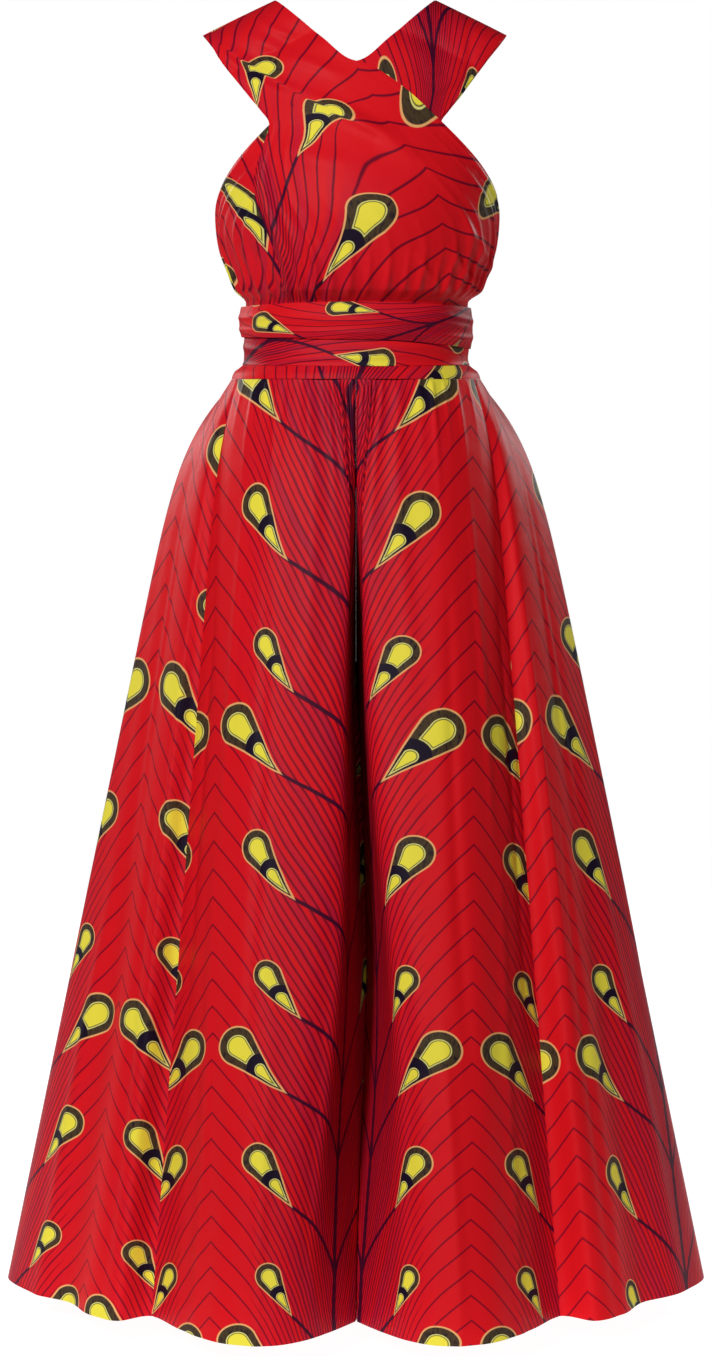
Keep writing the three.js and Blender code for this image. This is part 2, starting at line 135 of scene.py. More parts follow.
# The lines of a leg's flutes at the hem, from the valley between the legs in front round to the one behind.
# turn is where a line starts on the waist seam, in degrees from the middle of the front.
FLUTES = table("x y turn", [
    (1, -195, 2),
    (20, -240, 10),
    (48, -278, 19),
    (94, -297, 32),
    (144, -283, 46),
    (187, -228, 59),
    (221, -172, 71),
    (257, -192, 78),
    (290, -162, 85),
    (313, -112, 91),
    (353, -74, 98),
    (391, 0, 105),
    (376, 66, 112),
    (328, 112, 120),
    (318, 160, 127),
    (280, 210, 134),
    (240, 212, 141),
    (208, 198, 148),
    (166, 244, 155),
    (112, 282, 162),
    (58, 270, 168),
    (22, 232, 173),
    (1, 190, 178),
])
FIRST_CREST = 3
SIDE_SEAM = 6
SECOND_VALLEY = 9
LAST_LINE = 22

CROTCH_SEAM = table("z front back", [
    (1007, -100, 96),
    (970, -103, 103),
    (930, -105, 109),
    (880, -104, 111),
    (830, -94, 104),
    (785, -70, 82),
    (745, -36, 46),
    (715, 5, 5.5),
])
# The cleft between the legs: how far from the middle its fold, wall and outer edge lie, and how far it sinks
LEG_CLEFT = table("z fold wall edge sink", [
    (1007, 4, 14, 27, 0),
    (930, 1.6, 9, 20, 1),
    (880, 1, 7, 16, 5),
    (830, 1.2, 6.5, 14, 13),
    (785, 2, 7, 14, 34),
    (715, 2.5, 8, 15, 78),
    (640, 2.5, 9, 17, 103),
    (480, 2, 13, 25, 110),
    (300, 1.4, 19, 38, 86),
    (120, 1, 25, 51, 34),
    (0, 1, 28, 58, 0),
])
CLEFT_SINKS = {"fold": 1, "wall": 0.42, "edge": 0.05}
CLEFT_SWING = 10
INSEAM_HEM_Y = 26
INSEAM_GAP = 9
INSEAM_OPENS = 300
WALL_WAVE = 15
WALL_WAVE_GROWS = 150
SEAM_CLOSES = 0.02
SIDE_HIP = {"share": 0.19, "drop": 0.058, "round": 1.2}
DEPTH_HIP = {"share": 0.09, "drop": 0.07, "round": 1.4}
GATHERS_FACE_FRONT = 1.6
BODICE_GATHERS = {"depth": 3.2, "low": 1090, "high": 1103, "fade": 30}
# Each turn's lower and upper edge at the wearer's right, in front, at the left and behind
SASHES = {
    "sash_lower_turn": {
        "low": (1023, 1021, 1023, 1022),
        "high": (1063, 1062, 1064, 1062),
        "bulge": 1.6,
        "inner": 1.6,
    },
    "sash_upper_turn": {
        "low": (1053, 1050, 1040, 1046),
        "high": (1086, 1090, 1085, 1086),
        "bulge": 3,
        "inner": 5.4,
    },
}

# The print, in metres: feather stems side by side, barbs that rise from them and meet midway, and eyes on
# both sides of each stem
STEM_PERIOD = 0.32
EYE_REPEAT = 0.355
BARB_PITCH = 0.031
EYE_LENGTH = 0.09

# How finely the shells are divided: columns and rows
LEG_COLUMNS = {"front": 181, "back": 241}
WALL_COLUMNS = 20
LEG_ROWS = 150
FRONT_STRAP_GRID = (190, 170)
BACK_STRAP_GRID = (41, 101)
SASH_GRID = (301, 41)
WAISTBAND_GRID = (221, 17)


def mix(a, b, t):
    return a + (b - a) * t


def smoothstep(x, low, high):
    t = np.clip((x - low) / (high - low), 0, 1)
    return t * t * (3 - 2 * t)


def column(rows, key, z):
    """One column of a table at the heights z, by a smooth curve through its rows."""
    order = np.argsort(rows["z"])
    at = rows["z"][order]
    value = rows[key][order]
    padded_at = np.concatenate([at[:1], at, at[-1:]])
    padded_value = np.concatenate([value[:1], value, value[-1:]])
    slope = (padded_value[2:] - padded_value[:-2]) / (padded_at[2:] - padded_at[:-2])
    z = np.clip(z, at[0], at[-1])
    i = np.clip(np.searchsorted(at, z, side="right") - 1, 0, len(at) - 2)
    span = at[i + 1] - at[i]
    t = (z - at[i]) / span
    leave = slope[i] * span * t * (1 - t) ** 2
    arrive = slope[i + 1] * span * t * t * (1 - t)
    return mix(value[i], value[i + 1], t * t * (3 - 2 * t)) + leave - arrive


def along(values, t):
    """A smooth curve through values, which lie along their last axis, read at 0 to 1 along it."""
    last = values.shape[-1] - 1
    place = np.clip(t, 0, 1) * last
    i = np.minimum(np.floor(place).astype(int), last - 1)
    s = place - i
    a, b, c, d = (values[..., np.clip(i + k, 0, last)] for k in (-1, 0, 1, 2))
    return b + 0.5 * ((c - a) * s + (2 * a - 5 * b + 4 * c - d) * s**2 + (3 * b - a - 3 * c + d) * s**3)


def smaller(a, b, blend):
    return 0.5 * (a + b - np.hypot(a - b, blend))


def points(x, y, z):
    """An array of points from three arrays that fit each other."""
    return np.stack(np.broadcast_arrays(x, y, z), axis=-1).astype(float)


def spacing(grid, axis):
    """The length along one axis of a grid of points, from its first row or column."""
    steps = np.linalg.norm(np.diff(grid, axis=axis), axis=-1)
    lengths = np.cumsum(steps, axis=axis)
    zero = np.zeros_like(np.take(lengths, [0], axis=axis))
    return np.concatenate([zero, lengths], axis=axis)


def ridges(rows, x, z):
    """How far listed ridges move the cloth out.

    Each runs from one point to another, bowed to one side, and fades at both ends.
    """
    total = 0
    for x_from, z_from, x_to, z_to, bow, width, height in rows:
        length = math.hypot(x_to - x_from, z_to - z_from)
        way_x = (x_to - x_from) / length
        way_z = (z_to - z_from) / length
        t = np.clip(((x - x_from) * way_x + (z - z_from) * way_z) / length, 0, 1)
        arch = np.sin(np.pi * t)
        across = (x - x_from) * way_z - (z - z_from) * way_x - bow * arch
        total = total + height * arch**0.7 * np.exp(-((across / width) ** 2))
    return total


def gathers(rows, place, drop, start):
    """Gathers that hang from a seam. Each has its place along it, width and height, and its reach from it."""
    total = 0
    for centre, width, height, reach in rows:
        strength = (1 - np.exp(-drop / start)) * np.exp(-((drop / reach) ** 1.5))
        total = total + height * strength * np.exp(-(((place - centre) / width) ** 2))
    return total


# The figure and the straps
def on_figure(turn, z, out, back):
    """A point of the bodice, proud of its hollow by out. back is 1 for the back and -1 for the front."""
    x = (column(FIGURE, "width", z) + out) * np.sin(turn)
    body = (column(FIGURE, "back" if back > 0 else "front", z) + out) * np.cos(turn)
    below = STRAP_TOP - (np.abs(x) - STRAP_TOP_X) * SHOULDER_SLOPE - z
    round_top = SHOULDER_ROUND + out
    drop = np.clip(below, 0, round_top)
    shoulder = np.sqrt(drop * (2 * round_top - drop)) + np.maximum(below - round_top, 0) * SHOULDER_FALL
    fall = np.where(body > 0, np.maximum(smaller(body, shoulder, SHOULDER_BLEND), SEAM / 2), body)
    return points(x, back * fall, z)


def strap_out(layer, z):
    air = mix(SEAM, LAYER, smoothstep(z, BODICE_SEAM, LAYER_OPENS))
    return STRAP_CLOTH + layer * (STRAP_CLOTH + air)


GATHER_STRENGTH = 1.7
GATHERS_BEGIN = 12 # how far under their full height the gathers begin
GATHERS_SWELL = 4 # length over which they swell
# The gathers of a strap above the waistband: place across the strap, width, height and reach
STRAP_GATHERS = [
    (0.035, 0.014, 1.3, 95),
    (0.085, 0.012, 1.0, 60),
    (0.13, 0.013, 1.2, 80),
    (0.185, 0.015, 0.9, 50),
    (0.255, 0.013, 1.1, 62),
    (0.315, 0.016, 0.8, 84),
    (0.385, 0.013, 1.0, 48),
    (0.44, 0.012, 0.7, 36),
    (0.505, 0.014, 0.9, 44),
    (0.56, 0.011, 0.7, 34),
    (0.625, 0.014, 1.0, 46),
    (0.69, 0.012, 0.8, 38),
    (0.75, 0.014, 1.1, 56),
    (0.81, 0.012, 0.9, 48),
    (0.865, 0.012, 1.2, 82),
    (0.92, 0.012, 1.1, 70),
    (0.97, 0.012, 1.3, 104),
]
# Drags on the straps, from one place to another: x and z of both ends, bow, width and height
TOP_DRAGS = [
    (-146, 1372, -58, 1312, 3, 6, 5.0),
    (-66, 1318, 62, 1244, -4, 8, 4.4),
    (-128, 1388, -8, 1330, 4, 7, 3.2),
    (-112, 1402, -60, 1372, 2, 5, 2.6),
    (-150, 1362, -112, 1318, 0, 5, 2.8),
    (-96, 1262, 10, 1232, 5, 12, 2.8),
    (20, 1262, 128, 1222, 6, 13, 3.0),
    (-40, 1296, 84, 1262, 5, 8, 2.4),
    (-82, 1176, -20, 1126, 4, 9, 1.8),
    (112, 1178, 140, 1116, -3, 6, 3.4),
    (96, 1150, 122, 1108, 2, 5, 3.4),
    (62, 1142, 84, 1106, 2, 5, 2.2),
    (-8, 1138, 8, 1106, 0, 5, 1.4),
]
UNDER_DRAGS = [
    (-128, 1166, -92, 1104, -3, 6, -2.0),
    (-140, 1160, -116, 1102, -2, 6, -2.2),
    (-112, 1150, -80, 1100, 2, 5, -1.6),
    (72, 1306, 124, 1338, -3, 6, 1.6),
    (88, 1400, 96, 1330, 3, 6, -1.6),
    (122, 1392, 120, 1330, -3, 6, -1.8),
    (66, 1382, 74, 1322, 2, 5, -1.3),
]


# Between these turns the strap beneath goes in under the one on top, and its gathers are kept lower
UNDER_COVERED = (math.radians(-46), math.radians(-38))
UNDER_SINKS = 2.5 # the most that a drag draws the strap beneath in
UNDER_EDGES = 1.1 # how far its two edges are tucked in


def front_strap_grid(side, layer, columns, rows):
    """The outer side of one front strap, with the turn and height of each point."""
    u = np.linspace(0, 1, columns)[None, :]
    v = np.linspace(0, 1, rows)[:, None]
    near_turn, near_z, far_turn, far_z = (
        along(FRONT_STRAP[key], v) for key in ("near_turn", "near_z", "far_turn", "far_z")
    )
    near, far = np.radians(near_turn), np.radians(far_turn)
    straight = np.arcsin(np.clip(mix(np.sin(near), np.sin(far), u), -1, 1))
    turn = mix(mix(near, far, u), straight, smoothstep(v, SHOULDER_STRAIGHTENS, 1))
    z = mix(near_z, far_z, u)
    g = BODICE_GATHERS
    rise = g["depth"] * smoothstep(z, g["low"], g["high"])
    above = np.maximum(z - g["high"], 0)
    level = rise * np.exp(-above / g["fade"])
    wave = rise * GATHER_STRENGTH * gathers(STRAP_GATHERS, u, above + GATHERS_BEGIN, GATHERS_SWELL)
    if not layer:
        covered = smoothstep(turn * side, *UNDER_COVERED)
        wave = np.minimum(wave, mix(wave, 0.9 * level + 0.5, covered))
    x = side * column(FIGURE, "width", z) * np.sin(turn)
    out = strap_out(layer, z)
    if layer:
        out = out + level + np.maximum(wave + ridges(TOP_DRAGS, x, z), 0)
    else:
        edges = np.exp(-(((1 - u) / 0.016) ** 2)) + np.exp(-((u / 0.012) ** 2))
        out = out + np.maximum(wave + ridges(UNDER_DRAGS, x, z), -UNDER_SINKS) - UNDER_EDGES * edges
    grid = on_figure(turn, z, out, -1) * (side, 1, 1)
    return grid, turn * side, z


def unrolled(turn, z):
    """Where a point of the front lies when the figure's front is unrolled: round it, and up it."""
    width = column(FIGURE, "width", z)
    front = column(FIGURE, "front", z)
    round_it = (width + front) / 2 * turn + (width - front) / 4 * np.sin(2 * turn)
    x = np.abs(width * np.sin(turn))
    drop = np.clip(STRAP_TOP - (x - STRAP_TOP_X) * SHOULDER_SLOPE - z, 0, SHOULDER_ROUND)
    over = SHOULDER_ROUND * np.arccos(np.clip(1 - drop / SHOULDER_ROUND, -1, 1))
    quarter = SHOULDER_ROUND * (np.pi / 2 - 1)
    return round_it, z + quarter - (over - drop)


# Where given places of the print lie on each layer of the bodice: x and z on the figure, in millimetres,
# and the place in the print, in metres
TOP_PRINT = table("x z print_x print_y", [
    (95, 1120, 0.160, -0.031),
    (93, 1147, 0.160, 0),
    (90, 1173, 0.160, 0.031),
    (86, 1203, 0.160, 0.062),
    (73, 1232, 0.160, 0.093),
    (51, 1256, 0.160, 0.124),
    (34, 1281, 0.160, 0.155),
    (16, 1310, 0.160, 0.186),
    (1, 1338, 0.160, 0.217),
    (-33, 1112, 0.065, -0.037),
    (0, 1158, 0.090, 0),
    (36, 1201, 0.115, 0.037),
    (-60, 1245, 0.073, 0.099),
    (-31, 1281, 0.109, 0.134),
    (-103, 1299, 0.064, 0.186),
    (-98, 1327, 0.082, 0.217),
    (-87, 1130, 0, -0.005),
    (-76, 1207, 0.036, 0.069),
    (150, 1208, 0.228, 0.005),
    (-8, 1278, 0.145, 0.136),
    (-48, 1301, 0.112, 0.170),
    (34, 1165, 0.120, 0.008),
    (-11, 1193, 0.086, 0.031),
    (68, 1324, 0.192, 0.153),
])
UNDER_PRINT = table("x z print_x print_y", [
    (-116, 1184, -0.090, 0),
    (-96, 1144, -0.065, -0.037),
    (-136, 1224, -0.115, 0.037),
    (82, 1310, 0, 0.195),
    (76, 1417, 0, 0.285),
    (30, 1285, -0.094, 0.234),
    (126, 1324, 0.094, 0.234),
    (105, 1293, 0.064, 0.185),
])
# Two pleats of the top strap, from one place to another, and how much of the print each takes up, in metres
PRINT_PLEATS = [(-146, 1372, -58, 1312), (-66, 1318, 20, 1268)]
PLEAT_TAKES = 0.011
PLEAT_FOLD = 3 # width of a pleat's fold, and how far under it the print goes back to its place
PLEAT_EASES = (-45, -8)


def thin_plate(places, values, where):
    """Values between given places, which bend as a thin plate does."""

    def bend(a, b):
        square = ((a[..., None, :] - b) ** 2).sum(-1) + 1e-9
        return square * np.log(square)

    count = len(places)
    flat = np.column_stack([np.ones(count), places])
    system = np.block([[bend(places, places), flat], [flat.T, np.zeros((3, 3))]])
    weights = np.linalg.solve(system, np.concatenate([values, np.zeros((3, values.shape[1]))]))
    return bend(where, places) @ weights[:count] + weights[count] + where @ weights[count + 1 :]


def bodice_print(rows, turn, z):
    """Print coordinates on the bodice, from its listed places."""
    set_turn = np.arcsin(rows["x"] / (column(FIGURE, "width", rows["z"]) + STRAP_CLOTH))
    places = np.stack(unrolled(set_turn, rows["z"]), axis=-1) / 100
    values = np.stack([rows["print_x"], rows["print_y"]], axis=-1)
    return thin_plate(places, values, np.stack(unrolled(turn, z), axis=-1) / 100)


def pleated(print_at, turn, z):
    """The print with what the pleats on the top strap take up hidden in them."""
    x = column(FIGURE, "width", z) * np.sin(turn)
    for x_from, z_from, x_to, z_to in PRINT_PLEATS:
        length = math.hypot(x_to - x_from, z_to - z_from)
        way = ((x_to - x_from) / length, (z_to - z_from) / length)
        t = np.clip(((x - x_from) * way[0] + (z - z_from) * way[1]) / length, 0, 1)
        below = (x - x_from) * -way[1] + (z - z_from) * way[0]
        beside = smoothstep(-below, 0, PLEAT_FOLD) * smoothstep(below, *PLEAT_EASES)
        hidden = PLEAT_TAKES * np.sin(np.pi * t) ** 0.5 * beside
        print_at = print_at - hidden[..., None] * np.array([-0.2, 1])
    return print_at


# The waistband and the sash
def round_waist(u, z, out):
    angle = u * 2 * np.pi
    back = np.sin(angle) < 0
    depth = np.where(back, column(FIGURE, "back", z), column(FIGURE, "front", z)) + out
    width = column(FIGURE, "width", z) + out
    return points(-width * np.cos(angle), -depth * np.sin(angle), z)


def sash_edge(heights, u):
    place = (u % 1) * len(heights)
    i = np.floor(place).astype(int)
    s = place - i
    heights = np.array(heights, float)
    return mix(heights[i % len(heights)], heights[(i + 1) % len(heights)], s * s * (3 - 2 * s))


# Long folds of the sash: turn from the middle of the front and share of its height at both ends, bow, width
# and height
SASH_FOLDS = {
    "sash_lower_turn": [
        (-120, 0.62, -8, 0.30, 0.05, 0.09, 1.3),
        (-60, 0.15, 40, 0.34, 0.05, 0.08, 1.1),
        (0, 0.50, 110, 0.30, -0.06, 0.10, 1.4),
        (30, 0.75, 120, 0.62, 0.04, 0.07, 0.9),
        (130, 0.30, 225, 0.60, 0.05, 0.10, 1.3),
        (170, 0.70, 250, 0.25, -0.05, 0.09, 1.1),
    ],
    "sash_upper_turn": [
        (-130, 0.74, 10, 0.58, 0.04, 0.09, 1.5),
        (-110, 0.30, 5, 0.20, 0.05, 0.08, 1.3),
        (-40, 0.42, 78, 0.50, -0.05, 0.07, 1.2),
        (-10, 0.16, 120, 0.36, 0.05, 0.08, 1.5),
        (25, 0.80, 130, 0.66, 0.04, 0.07, 1.1),
        (120, 0.55, 240, 0.35, 0.06, 0.10, 1.5),
        (150, 0.25, 235, 0.70, -0.05, 0.08, 1.2),
    ],
}


def sash_grid(name, sash, columns, rows):
    u = np.linspace(0, 1, columns)[None, :]
    v = np.linspace(1, 0, rows)[:, None]
    z = mix(sash_edge(sash["low"], u), sash_edge(sash["high"], u), v)
    belly = sash["bulge"] * np.sin(np.pi * v) ** 0.8
    turn = u * 360 - 90
    long_way = [(a / 100, b, c / 100, *rest) for a, b, c, *rest in SASH_FOLDS[name]]
    fold = ridges(long_way, turn / 100, v) + ridges(long_way, turn / 100 - 3.6, v) - 0.5 * np.sin(np.pi * v)
    return round_waist(u, z, sash["inner"] + STRAP_CLOTH + belly + np.maximum(fold, -belly))


# How the print lies where the cloth is straight: a point of the print and its place, the way that the stem
# runs from there in degrees, and how far the gathers draw the print together across the stem and along it
SASH_PRINTS = {
    "sash_lower_turn": {
        "x": 10, "z": 1028, "print": (0.090, 0), "turn": 25, "across": 1.35, "along": 1.3
    },
    "sash_upper_turn": {
        "x": 26.5, "z": 1077, "print": (0.060, -0.039), "turn": 196, "across": 2.2, "along": 1.4
    },
    "waistband": {
        "x": 122, "z": 1014, "print": (0.115, 0.02), "turn": 64, "across": 1.1, "along": 1.1
    },
}


def straight_print(right, up, lay):
    turn = math.radians(lay["turn"])
    aside, rise = right - lay["x"], up - lay["z"]
    across = (aside * math.sin(turn) - rise * math.cos(turn)) * lay["across"]
    length = (aside * math.cos(turn) + rise * math.sin(turn)) * lay["along"]
    return np.stack([across * MM + lay["print"][0], length * MM + lay["print"][1]], axis=-1)


def from_front(grid):
    """The way round a band from the middle of the front, in millimetres."""
    round_it = spacing(grid, 1)
    return round_it - round_it[:, [round_it.shape[1] // 4]]


# The legs
def spread(z, hip):
    s = np.maximum(WAIST - z, 0) / WAIST
    return hip["share"] * (1 - np.exp(-((s / hip["drop"]) ** hip["round"]))) + (1 - hip["share"]) * s


def leg_lines(z, side):
    """The x and y of each of a leg's lines at the heights z, a row for each height."""
    across = z[:, None]
    front, back = column(FIGURE, "front", np.array(WAIST)), column(FIGURE, "back", np.array(WAIST))
    width = column(FIGURE, "width", np.array(WAIST)) + STRAP_CLOTH
    angle = np.radians(FLUTES["turn"])[None, :]
    depth = np.where(np.cos(angle) > 0, front, back) + STRAP_CLOTH
    x = mix(width * np.sin(angle), FLUTES["x"], spread(across, SIDE_HIP))
    y = mix(-depth * np.cos(angle), FLUTES["y"], spread(across, DEPTH_HIP))
    swing = CLEFT_SWING * np.sin(np.pi * smoothstep(CROTCH - z, 0, CROTCH))
    for k, (key, share) in enumerate(CLEFT_SINKS.items()):
        for line in (k, LAST_LINE - k):
            x[:, line] = column(LEG_CLEFT, key, z) + side * swing
            y[:, line] += np.cos(angle[0, line]) * share * column(LEG_CLEFT, "sink", z)
    return x, y


def inner_wall(is_front, s, z, side, fold_x, fold_y):
    """The wall between the legs, s of the way from the crotch seam or inseam to the fold."""
    part = smoothstep(CROTCH - z, 0, INSEAM_OPENS) * (CROTCH - z) / CROTCH
    seam = column(CROTCH_SEAM, "front" if is_front else "back", z)
    seam = np.where(z < CROTCH, mix(INSEAM_HEM_Y, seam, z / CROTCH), seam)
    swing = side * WALL_WAVE * smoothstep(CROTCH - z, 0, WALL_WAVE_GROWS) * np.sin(np.pi * s)
    x = mix(SEAM_CLOSES + INSEAM_GAP * part, fold_x, s) + (swing if is_front else -swing)
    return points(x, mix(seam, fold_y, s), z)


# The gathers under the waistband: place across the panel, width, height and reach down the leg
FRONT_GATHERS = [
    (0.05, 0.012, 1.6, 60),
    (0.10, 0.015, 2.2, 130),
    (0.165, 0.014, 1.8, 70),
    (0.225, 0.018, 2.4, 165),
    (0.295, 0.015, 1.9, 62),
    (0.35, 0.014, 1.6, 95),
    (0.415, 0.020, 2.3, 120),
    (0.485, 0.015, 1.5, 50),
    (0.55, 0.018, 1.8, 85),
    (0.64, 0.017, 1.3, 45),
    (0.74, 0.020, 1.1, 70),
    (0.87, 0.020, 0.7, 40),
]
BACK_GATHERS = [
    (0.10, 0.018, 0.8, 60),
    (0.20, 0.016, 1.0, 45),
    (0.31, 0.018, 1.4, 90),
    (0.39, 0.014, 1.7, 55),
    (0.46, 0.016, 2.1, 110),
    (0.53, 0.012, 1.8, 60),
    (0.60, 0.016, 2.3, 135),
    (0.67, 0.013, 1.8, 70),
    (0.735, 0.015, 2.2, 105),
    (0.80, 0.013, 1.9, 62),
    (0.86, 0.016, 2.3, 120),
    (0.92, 0.012, 1.7, 58),
    (0.965, 0.012, 1.5, 84),
]
# Soft creases of the legs: share across the panel and drop from the waist at both ends, bow, width and height
FRONT_CREASES = [
    (0.14, 0.07, 0.18, 0.46, 0.012, 0.022, 2.6),
    (0.27, 0.10, 0.235, 0.60, -0.02, 0.026, 2.2),
    (0.40, 0.06, 0.43, 0.36, 0.01, 0.020, 2.0),
    (0.36, 0.52, 0.33, 0.99, 0.02, 0.030, -2.6),
    (0.57, 0.20, 0.62, 0.78, -0.02, 0.030, -2.4),
    (0.50, 0.66, 0.55, 1.06, 0.01, 0.028, 3.0),
    (0.72, 0.12, 0.76, 0.52, 0.015, 0.024, 2.2),
    (0.80, 0.48, 0.78, 1.08, -0.015, 0.028, 3.2),
    (0.90, 0.24, 0.91, 0.70, 0.01, 0.020, -2.2),
]
BACK_CREASES = [
    (0.06, 0.22, 0.07, 0.72, 0.006, 0.010, 2.2),
    (0.115, 0.45, 0.105, 1.06, -0.008, 0.012, -2.8),
    (0.18, 0.10, 0.185, 0.55, 0.008, 0.013, 2.4),
    (0.235, 0.52, 0.25, 1.08, 0.008, 0.013, 3.6),
    (0.30, 0.14, 0.31, 0.66, -0.01, 0.014, 2.4),
    (0.355, 0.60, 0.35, 1.08, 0.006, 0.012, 3.0),
    (0.43, 0.16, 0.42, 0.80, 0.01, 0.014, 2.6),
    (0.50, 0.50, 0.515, 1.06, -0.008, 0.013, -3.0),
    (0.565, 0.12, 0.56, 0.50, 0.008, 0.012, 2.2),
    (0.63, 0.40, 0.64, 1.02, 0.01, 0.014, 3.0),
    (0.70, 0.14, 0.69, 0.62, -0.01, 0.013, 2.6),
    (0.77, 0.36, 0.785, 0.98, 0.008, 0.013, -2.6),
    (0.845, 0.10, 0.85, 0.48, 0.006, 0.012, 2.4),
    (0.90, 0.44, 0.89, 1.00, -0.006, 0.010, 2.0),
]
LEG_GATHERS_SWELL = 9
SIDES_DIFFER = 0.006 # share of a panel by which the folds of the two legs differ in place
CLEAR_OF_FOLD = (0.02, 0.16) # shares over which the folds rise beside the valley between the legs
CLEAR_OF_SEAM = 18
SEAM_ROLL = 1.2 # how far the cloth turns in at a seam
SEAM_ROLL_WIDTH = 3.5


def leg_face(is_front, side, s, z):
    """The face of a leg's front or back panel, s of the way round from its front edge."""
    x, y = leg_lines(z, side)
    start, end = (0, SIDE_SEAM) if is_front else (SIDE_SEAM, LAST_LINE)
    place = (start + s * (end - start)) / LAST_LINE
    x, y = along(x, place), along(y, place)
    length = np.hypot(x, y * GATHERS_FACE_FRONT)
    drop = np.maximum(WAIST - z, 0)[:, None]
    share = s[None, :]
    differ = side * SIDES_DIFFER
    hanging = gathers(FRONT_GATHERS if is_front else BACK_GATHERS, share + differ, drop, LEG_GATHERS_SWELL)
    creases = ridges(FRONT_CREASES if is_front else BACK_CREASES, share - differ, drop / 1000)
    from_fold = share if is_front else 1 - share
    rise = (GATHER_STRENGTH * hanging + creases) * smoothstep(from_fold, *CLEAR_OF_FOLD)
    arc = spacing(points(x, y, z[:, None]), 1)
    from_seam = arc[:, -1:] - arc if is_front else arc
    rise = rise * smoothstep(from_seam, 0, CLEAR_OF_SEAM)
    rise = rise - SEAM_ROLL * np.exp(-((from_seam / SEAM_ROLL_WIDTH) ** 2))
    return points(x + rise * x / length, y + rise * y * GATHERS_FACE_FRONT / length, z[:, None])


def leg_panel_grid(is_front, side, face_columns):
    """A leg panel's outer side: its inner wall and its face, in the order that they go round the leg."""
    drop = np.linspace(0, 1, LEG_ROWS) ** 1.25
    z = (WAIST - SEAM / 2) * (1 - drop)
    face = leg_face(is_front, side, np.linspace(0, 1, face_columns), z)
    fold_x, fold_y = (a[:, 0 if is_front else -1][:, None] for a in leg_lines(z, side))
    s = np.linspace(0, 1, WALL_COLUMNS + 1)[None, :-1]
    wall = inner_wall(is_front, s, z[:, None], side, fold_x, fold_y)
    grid = np.concatenate([wall, face] if is_front else [face, wall[:, ::-1]], axis=1)
    above = z > CROTCH
    grid[above, :, 0] = np.maximum(grid[above, :, 0], SEAM_CLOSES)
    return grid * (side, 1, 1)


def unrolled_panel(grid, wall_columns, is_front):
    """The panel laid flat: its face strip by strip between straight lines, then its inner wall row by row."""
    face = grid[:, wall_columns:] if is_front else grid[:, :-wall_columns]
    top, foot = face[0], face[-1]
    reach = np.linalg.norm(foot - top, axis=-1)
    flat_top = np.zeros((len(top), 2))
    flat_foot = np.zeros((len(top), 2))
    flat_foot[0] = (0, -reach[0])
    for k in range(1, len(top)):
        step = np.linalg.norm(top[k] - top[k - 1])
        slant = np.linalg.norm(top[k] - foot[k - 1])
        flat_top[k] = third_corner(flat_top[k - 1], flat_foot[k - 1], step, slant)
        step = np.linalg.norm(foot[k] - foot[k - 1])
        flat_foot[k] = third_corner(flat_top[k], flat_foot[k - 1], reach[k], step)
    length = spacing(face, 0)
    part = (length / length[-1])[..., None]
    flat = flat_top + (flat_foot - flat_top) * part
    wall = grid[:, : wall_columns + 1][:, ::-1] if is_front else grid[:, -wall_columns - 1 :]
    fold = flat[:, :1] if is_front else flat[:, -1:]
    beside = flat[:, 1:2] if is_front else flat[:, -2:-1]
    way = fold - beside
    way /= np.linalg.norm(way, axis=-1, keepdims=True)
    flat_wall = fold + way * spacing(wall, 1)[:, 1:, None]
    parts = [flat_wall[:, ::-1], flat] if is_front else [flat, flat_wall]
    return np.concatenate(parts, axis=1), flat_top, flat_foot


def third_corner(a, b, from_a, from_b):
    """The corner to the right of the line from a down to b, at its distances from both."""
    base = np.linalg.norm(b - a)
    down = (from_a**2 - from_b**2 + base**2) / (2 * base)
    over = math.sqrt(max(from_a**2 - down**2, 0))
    way = (b - a) / base
    return a + way * down + np.array([-way[1], way[0]]) * over


# How the print lies on each panel: the print at the top of its guiding line, the lean of the stems to that
# line, and how the print's repeat shortens down the leg, as the share of a metre and of its square
LEG_PRINTS = {
    ("front", "left"): {"x": 0.1035, "y": 0.505, "lean": 1.7, "fall": 0.852, "tighten": 0.178},
    ("front", "right"): {"x": 0.069, "y": 0.494, "lean": 1.4, "fall": 0.844, "tighten": 0.178},
    ("back", "right"): {"x": 0.108, "y": 0.434, "lean": -2.6, "fall": 0.744, "tighten": 0.22},
    ("back", "left"): {"x": 0.136, "y": 0.476, "lean": -0.5, "fall": 0.800, "tighten": 0.146},
}


# Across a front panel the print is drawn together at the eyes beside the cleft, where the cloth turns in, and
# is wider beyond them, in metres of print
LEG_EYES_AT = 0.09
FRONT_STRETCH = 0.8
FRONT_NARROWS = 0.018
FRONT_NARROWS_IN = 0.03
BACK_STRETCH = 0.86


